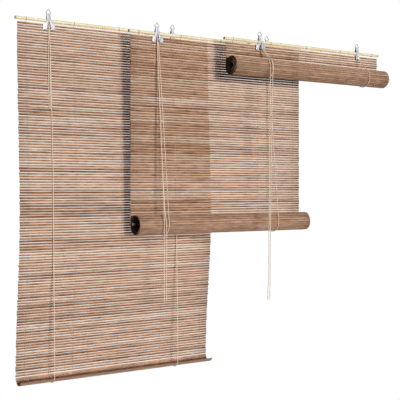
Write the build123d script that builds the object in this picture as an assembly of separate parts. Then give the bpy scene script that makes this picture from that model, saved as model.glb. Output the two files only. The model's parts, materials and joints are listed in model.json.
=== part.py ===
from build123d import *
import os
from dataclasses import dataclass
from math import acos, atan, atan2, cos, degrees, hypot, pi, sin, tan

# A set of three woven bamboo roll-up blinds, hung side by side and overlapping, at three heights.
# Millimetres, +Z up, fronts towards -Y. The origin is where a hook bears in the left blind's first ring.

# Woven curtain
CURTAIN_WIDTH = 1000.0
SLAT_COUNT = 138
SLAT_PITCH = 11.75
SLAT_GAP = 1.5
SLAT_THICK = 2.0
CURTAIN_TOP = 14.0
THREAD_COUNT = 5
THREAD_MARGIN = 41.5
THREAD_WIDTH = 1.6
THREAD_THICK = 0.6
THREAD_CLEAR = 0.25
THREAD_STATIONS = 28
BATTEN_HEIGHT = 12.0
BATTEN_THICK = 5.0
BATTEN_GAP = 0.8

# Head rod of natural bamboo, with its swollen nodes
ROD_RADIUS = 7.2
ROD_OVERHANG = 9.0
ROD_NODE_SPOTS = (92.0, 330.0, 545.0, 742.0, 925.0)
ROD_NODE_SWELL = 0.7
ROD_NODE_HALF = 4.0

# Rolled-up part of a curtain
ROLL_RADIUS = 46.0
ROLL_WRAP = 3.9

# Curl at the foot of a lowered curtain, and the bow of its fall
CURL_RADIUS = 30.0
CURL_SLATS = 6
BOW_FRONT = 31.0
BOW_BACK = 14.0
BOW_CREST = 870.0

# Hanging clips of folded sheet metal
SHEET = 1.0
CLIP_CLEAR = 0.4
CLIP_SHOULDER = 3.0
CLIP_TOP_HALF = 7.0
CLIP_BACK_HALF = 10.0
CLIP_BACK_LENGTH = 26.0
CLIP_SPACING = 648.0
PLATE_FOOT_HALF = 14.5
PLATE_FOOT_DROP = 9.0
LEG_TOP_DROP = 12.5
LEG_LENGTH = 41.0
LEG_REACH = 28.0
VEE_APEX_HALF = 4.0
VEE_APEX_DROP = 3.5
VEE_MOUTH_HALF = 11.5
PLAIN_HALF = 11.5
PLAIN_ROOT_DROP = 4.0
PLAIN_LENGTH = 36.0
PLAIN_SLOT_HALF = 3.0
PLAIN_SLOT_TOP = 8.0
CORNER_ROUND = 2.0

# Hanger ring of bent wire, hinged in the fold of a clip
RING_WIRE = 2.4
RING_CLEAR = 0.3
RING_BASE = 30.0
RING_HEIGHT = 23.0
RING_BEND = 3.5
RING_SEAM = 0.3
FOLD_RISE = 31.0

# Lift cords, and the pins and posts that lead them
CORD_DIA = 3.5
CORD_CLEAR = 0.1
SLING_CLEAR = 0.65
FRONT_STRAND = -2.0
PIN_RADIUS = 1.0
PIN_HALF = 10.0
PIN_DROP = 10.0
TIE_PIN_DROP = 13.0
TIE_PIN_HALF = 8.0
CORNER_RADIUS = 5.0
POST_LENGTH = 5.4
KNOT_RADIUS = 2.6
KNOT_LENGTH = 5.0
KNOT_DROP = 10.0
CORD_LEAD = 10.0
CURL_LEAD = 40.0
REAR_STATIONS = 18

# Sizes that follow from those above
CORD_RADIUS = CORD_DIA / 2
SLAT_HEIGHT = SLAT_PITCH - SLAT_GAP
THREAD_SPACING = (CURTAIN_WIDTH - 2 * THREAD_MARGIN) / (THREAD_COUNT - 1)
FOLD_RADIUS = RING_WIRE / 2 + RING_CLEAR + SHEET / 2
PLATE_REACH = ROD_RADIUS + CLIP_CLEAR + SHEET / 2
PLATE_INSIDE = PLATE_REACH - SHEET / 2
PIN_REACH = PLATE_INSIDE - PIN_RADIUS
BIGHT_RADIUS = PIN_RADIUS + CORD_RADIUS + CORD_CLEAR
STRAND_REACH = PIN_REACH - BIGHT_RADIUS
POST_RADIUS = CORNER_RADIUS - CORD_RADIUS - CORD_CLEAR
ROLL_OUTSIDE = hypot(ROLL_RADIUS + SLAT_THICK / 2, SLAT_HEIGHT / 2)
SLING_RADIUS = ROLL_OUTSIDE + SLING_CLEAR + CORD_RADIUS
REAR_REACH = SLING_RADIUS - ROLL_RADIUS
CURL_SLING = CURL_RADIUS + REAR_REACH
HOOK_RISE = FOLD_RISE + RING_HEIGHT - RING_WIRE


@dataclass
class Blind:
    """One blind: its name, where its curtain's top left corner hangs, and how far it is let down."""

    name: str
    across: float
    forward: float
    lowered: float
    hanging: int
    rolled: bool
    first_clip: float
    cord_a: tuple
    cord_b: tuple

    @property
    def drop(self):
        """Height of the roll's axis, or of the start of the curl, below the rod."""
        return CURTAIN_TOP + self.hanging * SLAT_PITCH

    @property
    def second_clip(self):
        return self.first_clip + CLIP_SPACING


# Free ends of the pull cords: points from the first clip's middle, on the rod's axis, below the clip's pin
LEFT_A = ((-2.3, -9.6, -60), (-4.6, -11.0, -150), (-5.4, -14.4, -290), (-5.2, -18.8, -392))
LEFT_B = ((2.6, -9.6, -72), (3.2, -11.6, -180), (3.0, -15.6, -300), (2.2, -19.4, -396))
MIDDLE_A = ((-6, -14.5, -74), (-11.5, -50, -400), (-19, -94, -790), (-20.5, -100, -865), (-21, -100.4, -960),
            (-20.6, -99.4, -1090), (-20, -98.6, -1238))
MIDDLE_B = ((1.0, -12.5, -58), (-3.8, -22, -120), (-8.2, -55, -410), (-14, -94.5, -790), (-10, -100.4, -868),
            (-8.8, -100.8, -950), (-8.4, -99.6, -1100), (-8.6, -98.4, -1234))
RIGHT_A = ((-4.0, -30, -39), (-7.5, -56, -66), (-10.8, -82, -90), (-13.2, -98.5, -112), (-14.5, -103, -142),
           (-15.2, -101.5, -200), (-18, -100, -450), (-21, -99.6, -750), (-22.5, -99.4, -1040), (-24, -99.3, -1150),
           (-29, -99.3, -1200), (-30, -99.2, -1242))
RIGHT_B = ((3.0, -32, -50), (3.4, -58, -72), (2.5, -84, -91), (1.0, -99, -112), (0, -103.5, -143),
           (-2, -102, -200), (-7, -100.3, -450), (-12, -99.6, -750), (-14, -99.5, -1040), (-14.6, -99.4, -1150),
           (-17.2, -99.3, -1200), (-17, -99.2, -1243))

BLINDS = (
    Blind("left", 0.0, 0.0, 0.0, SLAT_COUNT - CURL_SLATS, False, 147.0, LEFT_A, LEFT_B),
    Blind("middle", 502.0, 108.0, 23.0, 74, True, 140.0, MIDDLE_A, MIDDLE_B),
    Blind("right", 957.0, 216.0, 29.0, 10, True, 205.0, RIGHT_A, RIGHT_B),
)
HOOK = Vector(BLINDS[0].first_clip, 0, HOOK_RISE)


def bow(blind, down):
    """How far a lowered curtain stands forward at a depth below the rod, and its slope there."""
    if blind.rolled:
        return 0.0, 0.0
    if down < BOW_CREST:
        turn = pi / BOW_CREST
        return BOW_FRONT * (1 - cos(turn * down)) / 2, BOW_FRONT * turn * sin(turn * down) / 2
    turn = pi / (blind.drop - BOW_CREST)
    swing = (BOW_FRONT + BOW_BACK) / 2
    along = turn * (down - BOW_CREST)
    return BOW_FRONT - swing * (1 - cos(along)), -swing * turn * sin(along)


def curl_axis(blind):
    """Y and Z of the axis that the foot of the curtain is rolled or curled about."""
    if blind.rolled:
        return -ROLL_RADIUS, -blind.drop
    return BOW_BACK - CURL_RADIUS, -blind.drop


def slat():
    return Pos(CURTAIN_WIDTH / 2, 0, 0) * Box(CURTAIN_WIDTH, SLAT_THICK, SLAT_HEIGHT)


def hanging_slats(blind):
    """Slats from the rod down to the roll, each turned to the curtain's slope."""
    row = []
    for count in range(blind.hanging):
        down = CURTAIN_TOP + (count + 0.5) * SLAT_PITCH
        forward, slope = bow(blind, down)
        row.append(Pos(0, -forward, -down) * Rot(X=-degrees(atan(slope))) * slat())
    return Compound(row)


def curl_places(blind):
    """Turn and radius of each rolled slat, then of the batten that ends the curtain."""
    radius = ROLL_RADIUS if blind.rolled else CURL_RADIUS
    wrap = ROLL_WRAP if blind.rolled else 0.0
    turn = SLAT_PITCH / 2 / radius
    places = []
    for count in range(SLAT_COUNT - blind.hanging):
        places.append((turn, radius))
        step = SLAT_PITCH / radius
        turn += step
        radius -= wrap * step / (2 * pi)
    last_turn, last_radius = places[-1]
    reach = (SLAT_HEIGHT + BATTEN_HEIGHT) / 2 + BATTEN_GAP
    return places, (last_turn + reach / last_radius, radius)


def on_curl(blind, turn, radius, piece):
    """A piece stood on the spiral, with its outer side facing away from the axis."""
    axis_y, axis_z = curl_axis(blind)
    return Pos(0, axis_y + radius * cos(turn), axis_z - radius * sin(turn)) * Rot(X=-degrees(turn)) * piece


def curled_slats(blind):
    places = curl_places(blind)[0]
    return Compound([on_curl(blind, turn, radius, slat()) for turn, radius in places])


def bottom_batten(blind):
    """Half-round strip at the curtain's end, flat on the outer side."""
    flat = SLAT_THICK / 2
    half = BATTEN_HEIGHT / 2
    outline = Line((flat, -half), (flat, half))
    outline += ThreePointArc((flat, half), (flat - BATTEN_THICK, 0), (flat, -half))
    strip = extrude(Plane.YZ * make_face(outline), CURTAIN_WIDTH)
    turn, radius = curl_places(blind)[1]
    return on_curl(blind, turn, radius, strip)


def thread_strip(blind, side):
    """Outline of a thread lying on one face of the hanging slats."""
    stations = [0.0, CURTAIN_TOP, blind.drop]
    if not blind.rolled:
        stations[2:2] = [blind.drop * count / THREAD_STATIONS for count in range(1, THREAD_STATIONS)]
    near, far = [], []
    for down in stations:
        forward, slope = bow(blind, down)
        inner = SLAT_THICK / 2 + THREAD_CLEAR
        near.append((side * inner - forward, -down))
        far.append((side * (inner + THREAD_THICK) - forward, -down))
    return make_face(Polyline(*near, *reversed(far), close=True))


def thread_row(face):
    """The same thread at each of its places across the curtain."""
    rows = []
    for count in range(THREAD_COUNT):
        spot = THREAD_MARGIN + count * THREAD_SPACING
        rows.append(Pos(spot - THREAD_WIDTH / 2, 0, 0) * extrude(Plane.YZ * face, THREAD_WIDTH))
    return Compound([solid for row in rows for solid in row.solids()])


def weave_threads(blind):
    """Warps of the hanging part: a loop about the rod, and a strip down each face of the slats."""
    face = thread_strip(blind, -1) + thread_strip(blind, 1) + Circle(ROD_RADIUS + THREAD_THICK)
    face -= Circle(ROD_RADIUS)
    return thread_row(face)


def rolled_threads(blind):
    """Warps of the rolled part: a strip on the inner face of the slats, bent at each gap between two of them."""
    axis_y, axis_z = curl_axis(blind)
    places = curl_places(blind)[0]
    first_radius = places[0][1]
    last_turn, last_radius = places[-1]
    corners = [(THREAD_CLEAR / first_radius, first_radius)]
    for (turn, radius), (next_turn, next_radius) in zip(places, places[1:]):
        half = (next_turn - turn) / 2
        corners.append((turn + half, (radius + next_radius) / 2 / cos(half)))
    corners.append((last_turn + SLAT_HEIGHT / 2 / last_radius, last_radius))
    near, far = [], []
    for turn, radius in corners:
        inner = radius - SLAT_THICK / 2 - THREAD_CLEAR
        near.append((axis_y + inner * cos(turn), axis_z - inner * sin(turn)))
        inner -= THREAD_THICK
        far.append((axis_y + inner * cos(turn), axis_z - inner * sin(turn)))
    return thread_row(make_face(Polyline(*near, *reversed(far), close=True)))


def head_rod():
    """Bamboo pole with a low swelling at each node."""
    start = -ROD_OVERHANG
    end = CURTAIN_WIDTH + ROD_OVERHANG
    edge = [(start, 0), (start, ROD_RADIUS)]
    for spot in ROD_NODE_SPOTS:
        edge += [(spot - ROD_NODE_HALF, ROD_RADIUS), (spot, ROD_RADIUS + ROD_NODE_SWELL)]
        edge += [(spot + ROD_NODE_HALF, ROD_RADIUS)]
    edge += [(end, ROD_RADIUS), (end, 0)]
    return revolve(Plane.XZ * make_face(Polyline(*edge, close=True)), Axis.X)


def fold_section(grow):
    """The space under the folded sheet, out to its middle line plus a given amount."""
    reach = PLATE_REACH + grow
    crown = FOLD_RADIUS + grow
    foot = -LEG_LENGTH
    outline = Polyline((-crown, FOLD_RISE), (-reach, CLIP_SHOULDER), (-reach, foot), (reach, foot),
                       (reach, CLIP_SHOULDER), (crown, FOLD_RISE))
    outline += ThreePointArc((crown, FOLD_RISE), (0, FOLD_RISE + crown), (-crown, FOLD_RISE))
    return make_face(outline)


def folded_clip(front_outline):
    """Sheet folded over the rod, cut to its front outline and to a plain back tongue."""
    top = FOLD_RISE + FOLD_RADIUS + SHEET
    depth = PLATE_REACH + SHEET
    width = 2 * LEG_REACH
    section = fold_section(SHEET / 2) - fold_section(-SHEET / 2)
    sheet = Pos(-width / 2, 0, 0) * extrude(Plane.YZ * section, width)
    tongue = Polyline((-CLIP_TOP_HALF, top), (CLIP_TOP_HALF, top), (CLIP_TOP_HALF, FOLD_RISE),
                      (CLIP_BACK_HALF, 0), (CLIP_BACK_HALF, -CLIP_BACK_LENGTH),
                      (-CLIP_BACK_HALF, -CLIP_BACK_LENGTH), (-CLIP_BACK_HALF, 0), (-CLIP_TOP_HALF, FOLD_RISE),
                      close=True)
    front = extrude(Plane.XZ * make_face(front_outline), depth)
    back = extrude(Plane.XZ * make_face(tongue), -depth)
    return sheet & (front + back)


def cord_clip_outline():
    """Tapered plate with two broad legs at its foot, about a narrow inverted V."""
    top = FOLD_RISE + FOLD_RADIUS + SHEET
    half = [(CLIP_TOP_HALF, top), (CLIP_TOP_HALF, FOLD_RISE), (PLATE_FOOT_HALF, -PLATE_FOOT_DROP),
            (LEG_REACH, -LEG_TOP_DROP), (LEG_REACH, -LEG_LENGTH), (VEE_MOUTH_HALF, -LEG_LENGTH),
            (VEE_APEX_HALF, -VEE_APEX_DROP)]
    other = [(-across, up) for across, up in reversed(half)]
    return Polyline(*half, *other, close=True)


def plain_clip_outline():
    """Narrow plate whose lower end is slit into two columns."""
    top = FOLD_RISE + FOLD_RADIUS + SHEET
    half = [(CLIP_TOP_HALF, top), (CLIP_TOP_HALF, FOLD_RISE), (PLAIN_HALF, -PLAIN_ROOT_DROP),
            (PLAIN_HALF, -PLAIN_LENGTH), (PLAIN_SLOT_HALF, -PLAIN_LENGTH), (PLAIN_SLOT_HALF, -PLAIN_SLOT_TOP)]
    other = [(-across, up) for across, up in reversed(half)]
    return Polyline(*half, *other, close=True)


def rounded(clip, foot):
    """The clip with the corners of its lower ends rounded."""
    ends = clip.edges().filter_by(Axis.Y).filter_by_position(Axis.Z, -foot - SHEET, -foot + SHEET)
    return fillet(ends, CORNER_ROUND)


def hanger_ring():
    """Triangle of bent wire, its base bar lying in the fold of the clip."""
    half = RING_BASE / 2
    height = RING_HEIGHT - RING_WIRE / 2
    seam = RING_SEAM / 2
    path = FilletPolyline((seam, 0, 0), (half, 0, 0), (0, 0, height), (-half, 0, 0), (-seam, 0, 0), radius=RING_BEND)
    return Pos(0, 0, FOLD_RISE) * tube(path, RING_WIRE)


def tube(path, diameter):
    start = Plane(origin=path @ 0, z_dir=path % 0)
    return sweep(start * Circle(diameter / 2), path=path)


def bar(first, last, diameter):
    """Straight round bar or taut cord between two points."""
    span = Vector(*last) - Vector(*first)
    return extrude(Plane(origin=first, z_dir=span) * Circle(diameter / 2), span.length)


def bends(points):
    """The largest radius that each corner of a route takes."""
    spots = [Vector(*point) for point in points]
    radii = []
    for before, here, after in zip(spots, spots[1:], spots[2:]):
        turn = (here - before).get_angle(after - here)
        run = min((here - before).length, (after - here).length)
        radii.append(0.45 * run / tan(turn * pi / 360))
    return radii


def cord(points, name):
    """Cord along a route of straight runs joined by tangent arcs."""
    radii = bends(points)
    print(name, "bend radii", [round(radius) for radius in radii])
    path = FilletPolyline(*points, radius=radii)
    solid = tube(path, CORD_DIA)
    length = path.length
    print(name, "length", round(length), "volume ratio", round(solid.volume / (pi * CORD_RADIUS ** 2 * length), 4))
    return solid


def strands(blind):
    """Across the width: where the two lift cords run."""
    return blind.first_clip + FRONT_STRAND, blind.second_clip


def front_tops(blind):
    """Upper ends of the two front runs: at the pin of the first clip and under the corner of the second."""
    first, second = strands(blind)
    return (first, -STRAND_REACH, -PIN_DROP), (second, -STRAND_REACH, -PIN_DROP - CORNER_RADIUS)


def led_down(top):
    """Point straight below a cord's upper end, where it may start to slant."""
    return top[0], top[1], top[2] - CORD_LEAD


def sling_end(blind, top):
    """Turn about the roll's axis, from the rear, at which a taut front run leaves the sling."""
    axis_y, axis_z = curl_axis(blind)
    if not blind.rolled:
        return pi
    lead = led_down(top)
    away_y = lead[1] - axis_y
    away_z = lead[2] - axis_z
    return atan2(away_z, away_y) + acos(SLING_RADIUS / hypot(away_y, away_z))


def sling_radius(blind):
    return SLING_RADIUS if blind.rolled else CURL_SLING


def cord_slings(blind):
    """Loops of lift cord that carry the roll from below."""
    axis_y, axis_z = curl_axis(blind)
    loops = []
    for top in front_tops(blind):
        sweep_angle = 360 - degrees(sling_end(blind, top))
        arc = Plane.YZ.offset(top[0]) * CenterArc((axis_y, axis_z), sling_radius(blind), 0, -sweep_angle)
        loops.append(tube(arc, CORD_DIA))
    return Compound(loops)


def lift_cords_front(blind):
    """Runs up the front of the curtain, taut from the sling, or lying over the bow of a lowered curtain."""
    axis_y, axis_z = curl_axis(blind)
    runs = []
    for top in front_tops(blind):
        end = sling_end(blind, top)
        radius = sling_radius(blind)
        foot = (top[0], axis_y + radius * cos(end), axis_z + radius * sin(end))
        route = [top, led_down(top)]
        if not blind.rolled:
            stations = [BOW_CREST * share for share in (0.22, 0.38, 0.55, 0.72, 0.88, 1.0)]
            route += [(top[0], -bow(blind, down)[0] - REAR_REACH, -down) for down in stations]
            route.append((foot[0], foot[1], foot[2] + CURL_LEAD))
        runs.append(cord([*route, foot], blind.name + " front run"))
    return Compound(runs)


def lift_cords_rear(blind):
    """Runs down the back of the curtain, each ending above in a knot that its tie pin holds."""
    axis_y, axis_z = curl_axis(blind)
    rear = axis_y + sling_radius(blind)
    runs = []
    for across in strands(blind):
        knot_top = (across, REAR_REACH, -KNOT_DROP)
        if blind.rolled:
            run = bar((across, rear, axis_z), knot_top, CORD_DIA)
        else:
            stations = [blind.drop * count / REAR_STATIONS for count in range(1, REAR_STATIONS)]
            behind = [(across, REAR_REACH - bow(blind, down)[0], -down) for down in stations]
            lead = (across, rear, axis_z + CURL_LEAD)
            run = cord([knot_top, *behind, lead, (across, rear, axis_z)], blind.name + " rear run")
        knot = Pos(across, REAR_REACH, -KNOT_DROP) * Rot(Y=90) * Cylinder(KNOT_RADIUS, KNOT_LENGTH)
        runs.append(run + knot)
    return Compound([solid for run in runs for solid in run.solids()])


def head_cord(blind):
    """The bight over the first clip's pin, and the run under the rod that brings the second cord to it."""
    first, second = strands(blind)
    arc = Plane.YZ.offset(first) * CenterArc((-PIN_REACH, -PIN_DROP), BIGHT_RADIUS, 0, 180)
    low = -PIN_DROP - CORNER_RADIUS
    near = blind.first_clip - FRONT_STRAND
    route = [(near, -STRAND_REACH, low), (near, -STRAND_REACH, -PIN_DROP),
             (second, -STRAND_REACH, -PIN_DROP), (second, -STRAND_REACH, low)]
    across = FilletPolyline(*route, radius=CORNER_RADIUS - CORD_CLEAR)
    return Compound([tube(arc, CORD_DIA), tube(across, CORD_DIA)])


def clip_pins(blind):
    """Pins and posts inside the clips: the lock pin, two tie pins and two corner posts."""
    pins = []
    first, second = blind.first_clip, blind.second_clip
    pins.append(bar((first - PIN_HALF, -PIN_REACH, -PIN_DROP), (first + PIN_HALF, -PIN_REACH, -PIN_DROP),
                    2 * PIN_RADIUS))
    for middle in (first, second):
        pins.append(bar((middle - TIE_PIN_HALF, PIN_REACH, -TIE_PIN_DROP),
                        (middle + TIE_PIN_HALF, PIN_REACH, -TIE_PIN_DROP), 2 * PIN_RADIUS))
    height = -PIN_DROP - CORNER_RADIUS
    for across in (first - FRONT_STRAND + CORNER_RADIUS, second - CORNER_RADIUS):
        pins.append(bar((across, -PLATE_INSIDE, height), (across, POST_LENGTH - PLATE_INSIDE, height),
                        2 * POST_RADIUS))
    return Compound(pins)


def pull_cord(blind, start, points, name):
    """One free end of the lift cords, hanging in front from its start in the clip."""
    route = [start, led_down(start)]
    route += [(blind.first_clip + across, y, z) for across, y, z in points]
    return cord(route, blind.name + " " + name)


def pull_cord_starts(blind):
    """Where the two free ends begin: at the front of the bight, and under the corner post."""
    first = strands(blind)[0]
    over_pin = (first, -PIN_REACH - BIGHT_RADIUS, -PIN_DROP)
    under_post = (blind.first_clip - FRONT_STRAND, -STRAND_REACH, -PIN_DROP - CORNER_RADIUS)
    return over_pin, under_post


def blind_pieces(blind):
    """Every piece of one blind, in the frame of its own rod."""
    foot = "roll" if blind.rolled else "curl"
    start_a, start_b = pull_cord_starts(blind)
    return {
        "head_rod": head_rod(),
        "cord_clip": Pos(blind.first_clip, 0, 0) * rounded(folded_clip(cord_clip_outline()), LEG_LENGTH),
        "plain_clip": Pos(blind.second_clip, 0, 0) * rounded(folded_clip(plain_clip_outline()), PLAIN_LENGTH),
        "clip_pins": clip_pins(blind),
        "cord_clip_ring": Pos(blind.first_clip, 0, 0) * hanger_ring(),
        "plain_clip_ring": Pos(blind.second_clip, 0, 0) * hanger_ring(),
        "weave_threads": weave_threads(blind),
        "hanging_slats": hanging_slats(blind),
        foot + "_slats": curled_slats(blind),
        foot + "_threads": rolled_threads(blind),
        "bottom_batten": bottom_batten(blind),
        "cord_slings": cord_slings(blind),
        "lift_cords_front": lift_cords_front(blind),
        "lift_cords_rear": lift_cords_rear(blind),
        "head_cord": head_cord(blind),
        "pull_cord_a": pull_cord(blind, start_a, blind.cord_a, "pull cord a"),
        "pull_cord_b": pull_cord(blind, start_b, blind.cord_b, "pull cord b"),
    }


def main():
    os.makedirs("parts", exist_ok=True)
    for blind in BLINDS:
        place = Pos(blind.across - HOOK.X, -blind.forward - HOOK.Y, -blind.lowered - HOOK.Z)
        for piece, shape in blind_pieces(blind).items():
            export_step(place * shape, f"parts/{blind.name}_{piece}.step")


main()
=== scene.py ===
import json
from math import acos, asin, atan2, cos, hypot, pi, radians, sin

import bmesh
import bpy
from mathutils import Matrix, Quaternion, Vector


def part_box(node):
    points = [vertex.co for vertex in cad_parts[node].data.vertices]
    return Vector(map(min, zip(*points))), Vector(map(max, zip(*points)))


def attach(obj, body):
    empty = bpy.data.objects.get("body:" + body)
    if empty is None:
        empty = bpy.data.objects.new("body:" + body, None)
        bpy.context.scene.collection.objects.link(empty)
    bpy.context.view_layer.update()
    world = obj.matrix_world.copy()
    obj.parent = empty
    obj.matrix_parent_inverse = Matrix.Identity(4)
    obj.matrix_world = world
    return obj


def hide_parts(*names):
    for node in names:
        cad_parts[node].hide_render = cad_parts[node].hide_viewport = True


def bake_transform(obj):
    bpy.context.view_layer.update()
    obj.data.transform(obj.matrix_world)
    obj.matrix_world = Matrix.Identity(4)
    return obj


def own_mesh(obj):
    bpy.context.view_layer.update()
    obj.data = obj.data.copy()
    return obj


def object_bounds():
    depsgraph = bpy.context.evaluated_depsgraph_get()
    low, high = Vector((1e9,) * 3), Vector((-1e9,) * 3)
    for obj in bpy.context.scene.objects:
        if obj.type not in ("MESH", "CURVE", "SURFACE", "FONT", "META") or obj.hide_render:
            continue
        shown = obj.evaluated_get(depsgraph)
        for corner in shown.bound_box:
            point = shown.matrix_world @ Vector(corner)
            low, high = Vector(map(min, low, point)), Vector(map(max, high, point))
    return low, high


# A set of three woven bamboo roll-up blinds at three heights. Metres, fronts towards -Y.
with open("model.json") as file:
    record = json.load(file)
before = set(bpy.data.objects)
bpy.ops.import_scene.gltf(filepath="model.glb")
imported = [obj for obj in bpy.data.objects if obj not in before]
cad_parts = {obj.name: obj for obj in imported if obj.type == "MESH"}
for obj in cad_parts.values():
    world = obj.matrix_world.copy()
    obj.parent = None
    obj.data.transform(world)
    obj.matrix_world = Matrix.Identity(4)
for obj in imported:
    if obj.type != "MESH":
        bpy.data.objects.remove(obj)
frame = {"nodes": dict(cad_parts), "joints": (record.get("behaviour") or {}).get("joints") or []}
solid_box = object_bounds()

MM = 0.001

# View of a square picture, with its focal length and horizon in pixels
PICTURE_SIDE = 400
FOCAL_PIXELS = 869.8
HORIZON_ROW = 188.39
SENSOR_WIDTH_MM = 36
CAMERA_PLACE = (-1.593, -3.570, -0.793)
CAMERA_TURN = 0.5923

# Light
KEY_TRAVEL = (0.1, 1.0, -0.06)
KEY_STRENGTH = 3.0
KEY_SPREAD = radians(15)
BACK_TRAVEL = (-0.25, -1.0, -0.7)
BACK_STRENGTH = 1.6
BACK_SPREAD = radians(20)
FILL_STRENGTH = 0.04
WHITE = (1.0, 1.0, 1.0, 1.0)
FLOOR_DROP = 1.15
FLOOR_HALF = 2.4
FLOOR_SIDES = 96
FLOOR_GLOW = 0.65
FLOOR_GLOW_COLOUR = (0.95, 0.95, 0.95, 1.0)

# Woven curtain
SLAT_TOTAL = 138
SLAT_PITCH = 11.75 * MM
SLAT_HEIGHT = 10.25 * MM
SLAT_THICK = 1.9 * MM
SLAT_STEPS = 11
SLAT_THICK_RANGE = (0.85, 1.1)
EDGE_THINNING = 0.6
EDGE_WANDER = 0.75 * MM
EDGE_WAVES = 6.0
EDGE_WAVE_PER_SLAT = 3.7
EDGE_WAVE_ACROSS = 0.35
EDGE_WAVE_GAIN = 4.0
END_RAGGED = 1.6 * MM
END_SEED, THICK_SEED, TONE_SEED = 3, 4, 5
SPARE_HEIGHT = 7.0 * MM
SPARE_THICK = 0.7 * MM
SPARE_BEHIND = 1.45 * MM
SPARE_SHORTER = 6 * MM
SPARE_WANDER = 0.3 * MM
CURTAIN_TOP = 14 * MM
THREAD_MARGIN = 41.5 * MM
THREAD_SPACING = 229.25 * MM
THREAD_SPOTS = [THREAD_MARGIN + THREAD_SPACING * count for count in range(5)]
THREAD_RADIUS = 0.42 * MM
THREAD_SIDES = 5
THREAD_SWING = 1.35 * MM
THREAD_LAY = 1.6 * MM
THREAD_LAY_ACROSS = 1.2 * MM
MIDDLE_BANDS = 6

# Stain and painted shade across a slat: its mean, the stain's rise at the middle, the painted shade's fall
# towards the upper edge, which leaves the upper edge lit and the lower edge shaded, and what winding adds
STAIN_MEAN = 0.5
STAIN_CROWN = 0.3
PAINTED_SHADE_FALL = 0.55
STAIN_WOUND = 0.14

# Roll and curl
ROLL_RADIUS = 46 * MM
ROLL_WRAP = 3.9 * MM
CURL_RADIUS = 30 * MM
CURL_SLATS = 6
SPIRAL_STEP = radians(4)
ROLLED_HEIGHT = 10.3 * MM
ROLLED_THICK = 3.0 * MM
CURL_HEIGHT = 11.4 * MM
WOUND_WANDER = 0.1 * MM
WOUND_CONTRAST = 0.35
# Painted shade on the inner side of wound slats: darkening in the roll, and a negative value that paints
# light on the curl's shaded inner side
ROLLED_PAINTED_INNER_SHADE = 1.0
CURL_PAINTED_INNER_SHADE = -0.4
BOW_FRONT = 31 * MM
BOW_BACK = 14 * MM
BOW_CREST = 870 * MM

# Head rod
ROD_RADIUS = 7.2 * MM
ROD_OVERHANG = 9 * MM
ROD_NODES = (92 * MM, 330 * MM, 545 * MM, 742 * MM, 925 * MM)
ROD_NODE_SWELL = 0.7 * MM
ROD_NODE_HALF = 4 * MM
ROD_NODE_CLEAR = 6 * MM
ROD_NODE_STATIONS = (-1, -0.6, -0.3, -0.12, 0.12, 0.3, 0.6, 1)
ROD_GROOVE_DEPTH = 0.35 * MM
ROD_GROOVE_SHARE = 0.2
ROD_GROOVE_BROWN = 0.45
ROD_STATIONS = 40
ROD_SIDES = 20
ROD_BORE = 0.74
ROD_BORE_DEPTH = 35 * MM
LOOP_STEP = radians(15)
LOOP_STEPS = 24
LOOP_SIDES = 6
# How far forward and down each thread passes on its way from the rod to the curtain
LOOP_LEADS = ((1.2 * MM, ROD_RADIUS), (0.4 * MM, 11 * MM), (0.0, CURTAIN_TOP))

# Folded clips
MERGE_WITHIN = 0.01 * MM
FLAT_WITHIN = radians(1)
EDGE_BREAK = 0.22 * MM
EDGE_BREAK_STEPS = 2
EDGE_BREAK_FROM = radians(40)
CREASE_FROM = radians(35)
INNER_SIDE = 0.5 * MM

# Lift cords
CORD_RADIUS = 1.75 * MM
CORD_SIDES = 8
BRAID_STRANDS = 4
BRAID_LAY = 3.2 * MM
ROUTE_STEPS = 10
CORD_LEAD = 10 * MM
SLING_RADIUS = 49.68 * MM
SLING_STEPS = 40
FRONT_STRAND = -2 * MM
LIFT_SHIFT = 10 * MM
LIFT_SETTLE = 60 * MM
LIFT_SETTLE_MOST = 0.5
PIN_DROP = 10 * MM
PIN_REACH = 6.6 * MM
BIGHT_RADIUS = 2.85 * MM
BIGHT_STEPS = 12
CORNER_RADIUS = 5 * MM
CORNER_CUT = 2 * MM
REAR_REACH = SLING_RADIUS - ROLL_RADIUS
CURL_LEAD = 40 * MM
FRONT_STATIONS = [BOW_CREST * share for share in (0.22, 0.38, 0.55, 0.72, 0.88, 1.0)]
REAR_STATIONS = 18
STRAND_REACH = PIN_REACH - BIGHT_RADIUS
KNOT_DROP = 10 * MM
KNOT_ASIDE = 1.1 * MM
KNOT_HALF_DEPTH = 1.1 * MM
KNOT_HALF_HEIGHT = 1.82 * MM
KNOT_STEPS = 14

# Free ends of the pull cords, in millimetres from the first clip's middle on the rod's axis
LEFT_A = ((-2.3, -9.6, -60), (-4.6, -11.0, -150), (-5.4, -14.4, -290), (-5.2, -18.8, -392))
LEFT_B = ((2.6, -9.6, -72), (3.2, -11.6, -180), (3.0, -15.6, -300), (2.2, -19.4, -396))
MIDDLE_A = ((-6, -14.5, -74), (-11.5, -50, -400), (-19, -94, -790), (-20.5, -100, -865), (-21, -100.4, -960),
            (-20.6, -99.4, -1090), (-20, -98.6, -1238))
MIDDLE_B = ((-2.6, -10.4, -58), (-4.3, -16.5, -120), (-9.0, -47, -410), (-16, -91, -790), (-10, -100.4, -868),
            (-8.8, -100.8, -950), (-8.4, -99.6, -1100), (-8.6, -98.4, -1234))
RIGHT_A = ((-4.0, -30, -39), (-7.5, -56, -66), (-10.8, -82, -90), (-13.2, -98.5, -112), (-14.5, -103, -142),
           (-15.2, -101.5, -200), (-18, -100, -450), (-21, -99.6, -750), (-22.5, -99.4, -1040),
           (-24, -99.3, -1150), (-29, -99.3, -1200), (-30, -99.2, -1242))
RIGHT_B = ((3.0, -32, -50), (3.4, -58, -72), (2.5, -84, -91), (1.0, -99, -112), (0, -103.5, -143),
           (-2, -102, -200), (-7, -100.3, -450), (-12, -99.6, -750), (-14, -99.5, -1040),
           (-14.6, -99.4, -1150), (-17.2, -99.3, -1200), (-17, -99.2, -1243))


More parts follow.
